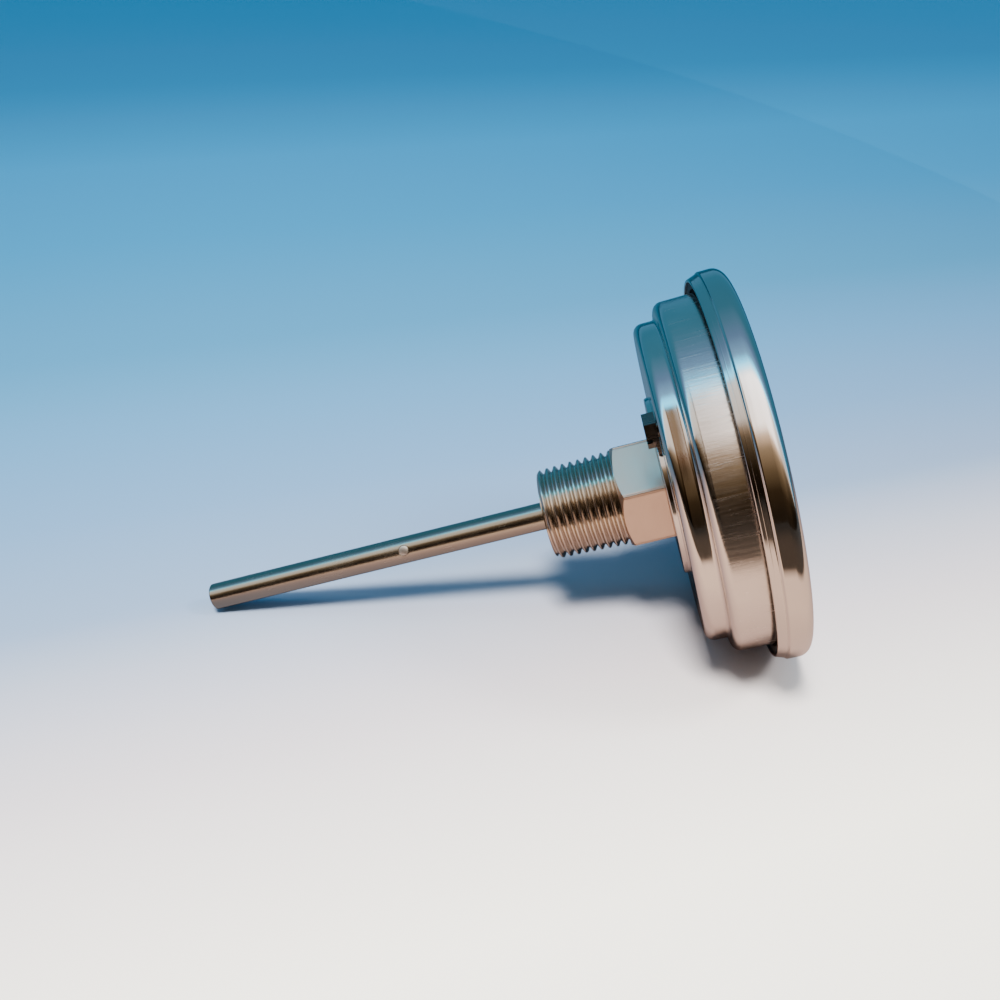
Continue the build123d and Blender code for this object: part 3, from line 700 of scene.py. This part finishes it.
# %% Thread rows
flank = THREAD_DEPTH * math.tan(math.radians(30))
crest_half = (PITCH - 2 * flank - ROOT_FLAT) / 2
BROKEN = 0.05
shifts = [-crest_half - BROKEN, -crest_half + BROKEN, 0, crest_half - BROKEN, crest_half + BROKEN]
shifts += [crest_half + flank * step / 4 for step in range(1, 5)]
shifts += [crest_half + flank + ROOT_FLAT + flank * step / 4 for step in range(4)]


def thread_radius(y, sunk):
    """The thread's radius at a station, where `sunk` is how deep in the groove it is."""
    crest = END_RADIUS + (THREAD_END - y) * TAPER
    chamfer = END_RADIUS - END_CHAMFER + (THREAD_END - y)
    return min(crest - THREAD_DEPTH * sunk, chamfer)


def sunk_at(shift):
    """How deep in the groove a distance from a crest's middle is, from 0 to 1."""
    away = abs((shift + PITCH / 2) % PITCH - PITCH / 2)
    return min(max((away - crest_half) / flank, 0.0), 1.0)


def grid_face(row, k, next_row, n, base=0):
    """The face from column k of one row to column n of another, up to the rows after them."""
    return (base + row * wide + k, base + next_row * wide + n,
            base + (next_row + 1) * wide + n, base + (row + 1) * wide + k)


turns = int(THREAD_END / PITCH) + 3
rows = [turn * PITCH + shift for turn in range(-1, turns) for shift in shifts]
vertices, faces = [], []
for start in rows:
    for angle in columns:
        y = start + PITCH * angle / (2 * math.pi)
        held = min(max(y, 0.0), THREAD_END)
        radius = thread_radius(held, sunk_at(held - PITCH * angle / (2 * math.pi)))
        vertices.append((radius * math.sin(angle), held, radius * math.cos(angle)))
wide, step_up = len(columns), len(shifts)
for row in range(len(rows) - 1):
    faces += [grid_face(row, k, row, k + 1) for k in range(wide - 1)]
    if row + step_up + 1 < len(rows):
        faces.append(grid_face(row, wide - 1, row + step_up, 0))
print("thread rows", len(rows), "columns", wide)

# %% End face, chamfer, hexagon and spigot
SLANT = 0.577
EDGE_BREAK = 0.1
CHAMFER_SUPPORT = 0.06
FLAT_ROW = -1.4
SPIGOT_END, SPIGOT_RADIUS, SPIGOT_BORE = span("connector")[0], 8.0, 5.0


def thread_edge(y):
    """The thread's outline where a flat face crosses it at a station."""
    return [(thread_radius(y, sunk_at(y - PITCH * a / (2 * math.pi))), y) for a in columns]


end_rows = [[(TAIL_RADIUS, THREAD_END)] * wide, thread_edge(THREAD_END)]
hex_rows = [thread_edge(0.0), [(HEX_FACE, 0.0)] * wide]
reach = [hexagon_reach(a) for a in columns]
for share in (0.5, 0.96, 1.0):
    hex_rows.append([
        (HEX_FACE + (r - HEX_FACE) * share, -(r - HEX_FACE) * share * SLANT) for r in reach])
hex_rows.append([(r, -(r - HEX_FACE) * SLANT - CHAMFER_SUPPORT) for r in reach])
hex_rows.append([(r, FLAT_ROW) for r in reach])
hex_rows.append([(r, BOSS_FACE + EDGE_BREAK) for r in reach])
hex_rows.append([(r - EDGE_BREAK, BOSS_FACE) for r in reach])
hex_rows += [[place] * wide for place in (
    (SPIGOT_RADIUS, BOSS_FACE), (SPIGOT_RADIUS, SPIGOT_END), (SPIGOT_BORE, SPIGOT_END),
    (SPIGOT_BORE, TAIL), (TAIL_RADIUS, TAIL), (TAIL_RADIUS, THREAD_END))]
for loops in (end_rows, hex_rows):
    base = len(vertices)
    for loop in loops:
        for (radius, y), angle in zip(loop, columns):
            vertices.append((radius * math.sin(angle), y, radius * math.cos(angle)))
    for row in range(len(loops) - 1):
        faces += [grid_face(row, k, row, (k + 1) % wide, base) for k in range(wide)]
connector = make_piece("threaded_connector", np.array(vertices) * MM, faces, sharp=28)
stand_in_for(connector, "connector", "housing", HEX_STEEL_WITH_PAINTED_REFLECTION)
# The thread starts at y = 0, so the faces beyond it take the second finish.
connector.data.materials.append(THREAD_STEEL)
for face in connector.data.polygons:
    face.material_index = int(face.center.y > 0)
print("connector faces", len(connector.data.polygons), "across flats", round(ACROSS_FLATS, 2))

# %% [markdown]
# ## The adjusting screw
# A small hexagon with a screwdriver slot turns the dial against the pointer. The drawn
# part is right in shape, so it only needs its edges broken, which a bevel modifier does,
# and it and its bush take the dark steel. Other small drawn parts get the same bevel.

# %% Broken edges on small drawn parts
for name in ("adjuster_screw", "adjuster_bushing"):
    dress(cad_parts[name], SCREW_STEEL)
BROKEN_EDGES = {"adjuster_screw": 0.22, "hub_nut": 0.3, "dial_gear": 0.05, "pointer": 0.06,
                "dial_screws": 0.08, "pointer_hub": 0.12}
for name, width in BROKEN_EDGES.items():
    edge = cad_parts[name].modifiers.new("broken edge", "BEVEL")
    edge.width, edge.segments, edge.limit_method = width * MM, 3, "ANGLE"
    edge.angle_limit = math.radians(40)
    edge.harden_normals = True

# %% [markdown]
# ## The dial's markings
# The scale runs from 0 to 220 degrees Fahrenheit over three quarters of a turn, with
# figures every twenty degrees. The markings are thin black shapes just in front of the
# white plate. They ride with the dial, because the adjusting screw turns it under the
# pointer.

# %% Scale marks
SCALE_TOP, SCALE_SWEEP = 220, 270
MARK_FACE = DIAL_FACE - 0.02
MARK_END, ARC_END, ARC_STEPS = 34.6, 34.9, 180
MARK_SHAPES = {20: (30.6, 0.32), 10: (31.8, 0.2), 2: (32.8, 0.11)}


def scale_turn(reading):
    """The angle of a reading, clockwise from twelve o'clock as the reader sees it."""
    return math.radians(-SCALE_SWEEP / 2 + SCALE_SWEEP * reading / SCALE_TOP)


def dial_point(radius, turn, side=0.0):
    """A place on the dial, seen from in front: `turn` clockwise, `side` across the radius."""
    across = radius * math.sin(turn) + side * math.cos(turn)
    upright = radius * math.cos(turn) - side * math.sin(turn)
    return (across * MM, MARK_FACE * MM, upright * MM)


vertices, faces = [], []
for reading in range(0, SCALE_TOP + 1, 2):
    start, half = next(MARK_SHAPES[step] for step in MARK_SHAPES if reading % step == 0)
    turn = scale_turn(reading)
    base = len(vertices)
    vertices += [dial_point(start, turn, -half), dial_point(start, turn, half),
                 dial_point(MARK_END, turn, half), dial_point(MARK_END, turn, -half)]
    faces.append((base, base + 1, base + 2, base + 3))
arc = [scale_turn(SCALE_TOP * step / ARC_STEPS) for step in range(ARC_STEPS + 1)]
base = len(vertices)
vertices += [dial_point(radius, turn) for turn in arc for radius in (MARK_END, ARC_END)]
faces += [(k, k + 2, k + 3, k + 1) for k in range(base, base + 2 * ARC_STEPS, 2)]
scale = make_piece("scale_marks", vertices, faces)
dress(scale, INK)
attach(scale, "dial")


# %% Figures
def figure(text, radius, turn, height):
    """A word on the dial, turned to stand upright for the reader, as a flat mesh."""
    words = bpy.data.curves.new("words", "FONT")
    words.body, words.size = text, height * MM
    words.align_x, words.align_y = "CENTER", "CENTER"
    holder = bpy.data.objects.new("words", words)
    bpy.context.scene.collection.objects.link(holder)
    mesh = finished_mesh(holder)
    bpy.data.objects.remove(holder)
    upright = Matrix.Rotation(math.pi / 2, 4, "X")
    mesh.transform(Matrix.Translation(Vector(dial_point(radius, turn))) @ upright)
    piece = bpy.data.objects.new("figure_" + "".join(c for c in text if c.isalnum()), mesh)
    bpy.context.scene.collection.objects.link(piece)
    dress(piece, INK)
    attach(piece, "dial")
    return piece


FIGURE_RADIUS, FIGURE_HEIGHT = 26.6, 5.0
UNIT_RADIUS, UNIT_HEIGHT = 18.0, 6.0
for reading in range(0, SCALE_TOP + 1, 20):
    figure(str(reading), FIGURE_RADIUS, scale_turn(reading), FIGURE_HEIGHT)
figure("°F", UNIT_RADIUS, math.pi, UNIT_HEIGHT)
print("marks", len(scale.data.polygons))

# %% [markdown]
# ## The table
# The table is a plain pale sheet. It is pinkish white nearest the camera and turns
# steadily bluer with distance. That blue is painted daylight from a window behind, put
# into its colour by the distance across the table, so it stays put from every side. Between
# the instrument and the camera its colour stops also hold painted shade, darker where the
# instrument's shadow falls. The steel mirrors a warmer and darker sheet than the eye sees,
# a painted reflection which gives its lower faces their brown tone.

# %% Table
table_mesh = bpy.data.meshes.new("table")
HALF_TABLE = 6000
table_corners = [
    on_table(along * HALF_TABLE, near * HALF_TABLE, TABLE_TOP)
    for along, near in ((-1, -1), (1, -1), (1, 1), (-1, 1))]
table_mesh.from_pydata(table_corners, [], [(0, 1, 2, 3)])
table = bpy.data.objects.new("table", table_mesh)
bpy.context.scene.collection.objects.link(table)

# Painted light: the paper's colour by distance, with painted daylight blue far off and painted shade
# near the instrument.
TABLE_PAINTED_LIGHT_COLOURS = [
    (-900, (0.014, 0.24, 0.48)), (-560, (0.021, 0.30, 0.58)), (-380, (0.026, 0.26, 0.50)),
    (-220, (0.048, 0.235, 0.42)), (-150, (0.082, 0.25, 0.44)), (-90, (0.12, 0.25, 0.42)),
    (-40, (0.18, 0.27, 0.40)), (20, (0.53, 0.50, 0.52)), (80, (0.86, 0.83, 0.73))]
FADE_TURN = 0.36
PALE_WAY = NEAR - ALONG * FADE_TURN
# Painted reflection: what the steel mirrors of the paper is tinted warmer and darker, and from the
# distance set here, nearer the camera, it sees only a painted dark colour.
DARK_REFLECTION_START, DARK_REFLECTION_FADE = 125, 25
PAINTED_REFLECTION_TINT = (0.40, 0.295, 0.255)
PAINTED_DARK_REFLECTION = (0.02, 0.014, 0.01, 1)


def table_material():
    """Pale paper with painted daylight, pinkish white near the camera and blue away from it.

    Reflections see it through a painted reflection tint, warmer and darker, and nearer the
    camera than a set distance they see only a painted dark colour, which stands for the
    dark room there. The sheet's underside is see-through, so that the object also shows
    from below."""
    material, tree, shader = blank_material("pale table with painted daylight")
    away = vector_maths(tree, "DOT_PRODUCT", {0: object_place(tree), 1: tuple(PALE_WAY)})
    first, last = TABLE_PAINTED_LIGHT_COLOURS[0][0], TABLE_PAINTED_LIGHT_COLOURS[-1][0]
    share = share_between(tree, away, first * MM, last * MM)
    stops = [((near - first) / (last - first), colour) for near, colour in TABLE_PAINTED_LIGHT_COLOURS]
    paper = ramp(tree, share, stops)
    painted_dark_share = share_between(tree, away, DARK_REFLECTION_START * MM, (DARK_REFLECTION_START + DARK_REFLECTION_FADE) * MM)
    warm = vector_maths(tree, "MULTIPLY", {0: paper, 1: PAINTED_REFLECTION_TINT})
    seen = mix_colour(tree, painted_dark_share, warm, PAINTED_DARK_REFLECTION)
    mirrored = add_node(tree, "ShaderNodeLightPath").outputs["Is Glossy Ray"]
    tree.links.new(mix_colour(tree, mirrored, paper, seen), shader.inputs["Base Color"])
    shader.inputs["Roughness"].default_value = 0.6
    shader.inputs["Specular IOR Level"].default_value = 0.1
    under = add_node(tree, "ShaderNodeNewGeometry").outputs["Backfacing"]
    clear = add_node(tree, "ShaderNodeBsdfTransparent").outputs[0]
    sheet = add_node(tree, "ShaderNodeMixShader", {0: under, 1: shader.outputs[0], 2: clear}).outputs[0]
    tree.links.new(sheet, tree.nodes["Material Output"].inputs["Surface"])
    return material


dress(table, table_material())

# %% [markdown]
# ## Light
# Polished steel is a mirror, so what it reflects is as much a part of its look as the
# metal. The room is described by one angle, measured over the instrument from the camera's
# side. First comes the dark, warm room behind the camera, then lamplight on its ceiling,
# then a broad bright panel, and from overhead to the far side the window's blue daylight.
# The panel doesn't reach all the way along the instrument. Towards the probe it stops, and
# that dark gap is what draws the dark line down each rounded corner of the case.
# A broad panel lights matt things too evenly to throw a shadow. So matt surfaces get only
# part of its light, and two soft lamps, which the metal doesn't mirror, throw the shadows
# on the table. The window's daylight is the blue that fills those shadows.

# %% Room
BRIGHTEST = 6.0
CEILING = [
    (-180, (0.03, 0.02, 0.015)), (5, (0.025, 0.016, 0.009)), (17, (0.05, 0.03, 0.014)),
    (27, (0.19, 0.125, 0.065)), (39, (0.5, 0.35, 0.21)), (46, (1.5, 1.05, 0.7)),
    (52, (3.6, 3.3, 3.1)), (80, (4.2, 4.2, 4.3)), (84, (1.2, 1.2, 1.2)), (88, 0.0)]
WINDOW = [
    (81, 0.0), (85, (0.3, 2.4, 3.8)), (89, (0.4, 2.0, 3.2)), (93, (0.32, 0.68, 1.1)),
    (106, (0.18, 0.33, 0.58)), (117, (0.11, 0.29, 0.46)), (130, (0.06, 0.24, 0.37)),
    (165, (0.05, 0.235, 0.38)), (180, (0.08, 0.28, 0.47))]
REACH = [
    (-1, 0.25), (-0.75, 0.4), (-0.5, 1.0), (0.165, 1.0), (0.2, (0.09, 0.06, 0.032)),
    (0.30, (0.08, 0.05, 0.028)), (0.40, (0.36, 0.35, 0.32)), (1, 0.34)]
EDGE_TILT, EDGE_SHIFT = -0.12, 0.136
MATT_LOSS = 0.68


def scaled(stops, low, high, brightest=1.0):
    """Ramp stops with places moved to 0..1 and colours divided by the brightest value."""
    return [((place - low) / (high - low),
             colour / brightest if isinstance(colour, float) else tuple(c / brightest for c in colour))
            for place, colour in stops]


world = bpy.data.worlds.new("room")
bpy.context.scene.world = world
world.use_nodes = True
tree = world.node_tree
sky = add_node(tree, "ShaderNodeTexCoord").outputs["Generated"]


def share_of(axis):
    """How far a direction in the room points along one of the table's directions."""
    return vector_maths(tree, "DOT_PRODUCT", {0: sky, 1: tuple(axis)})


angle = number_maths(tree, "ARCTAN2", {0: share_of(UP), 1: share_of(NEAR)})
share = share_between(tree, angle, -math.pi, math.pi)
lean = number_maths(tree, "MULTIPLY_ADD", {0: angle, 1: EDGE_TILT, 2: EDGE_SHIFT})
sideways = number_maths(tree, "ADD", {0: share_of(ALONG), 1: lean})
place = share_between(tree, sideways, -1.0, 1.0)
panel = ramp(tree, share, scaled(CEILING, -180, 180, BRIGHTEST))
shaded = vector_maths(tree, "MULTIPLY", {0: panel, 1: ramp(tree, place, scaled(REACH, -1, 1))})
on_matt = add_node(tree, "ShaderNodeLightPath").outputs["Is Diffuse Ray"]
softer = number_maths(tree, "MULTIPLY_ADD", {0: on_matt, 1: -MATT_LOSS, 2: 1.0})
shaded = vector_maths(tree, "SCALE", {0: shaded, "Scale": softer})
daylight = ramp(tree, share, scaled(WINDOW, -180, 180, BRIGHTEST))
both = vector_maths(tree, "ADD", {0: shaded, 1: daylight})
background = tree.nodes["Background"]
tree.links.new(both, background.inputs["Color"])
background.inputs["Strength"].default_value = BRIGHTEST


# %% Lamps
def lamp(name, place, size, power, colour):
    """A soft square lamp, aimed at the case, that the metal doesn't mirror.

    Its place is in the table's own directions."""
    light = bpy.data.lights.new(name, "AREA")
    light.shape, light.size, light.energy, light.color = "SQUARE", size, power, colour
    holder = bpy.data.objects.new(name, light)
    bpy.context.scene.collection.objects.link(holder)
    holder.location = on_table(*place)
    to_case = Vector((0, 0, 0)) - holder.location
    holder.rotation_euler = to_case.to_track_quat("-Z", "Y").to_euler()
    holder.visible_camera = False
    holder.visible_glossy = False
    return holder


lamp("key", (85, 240, 480), 0.11, 11.5, (1.0, 0.93, 0.89))
lamp("side fill", (-500, 110, 560), 0.16, 4.0, (1.0, 0.95, 0.93))
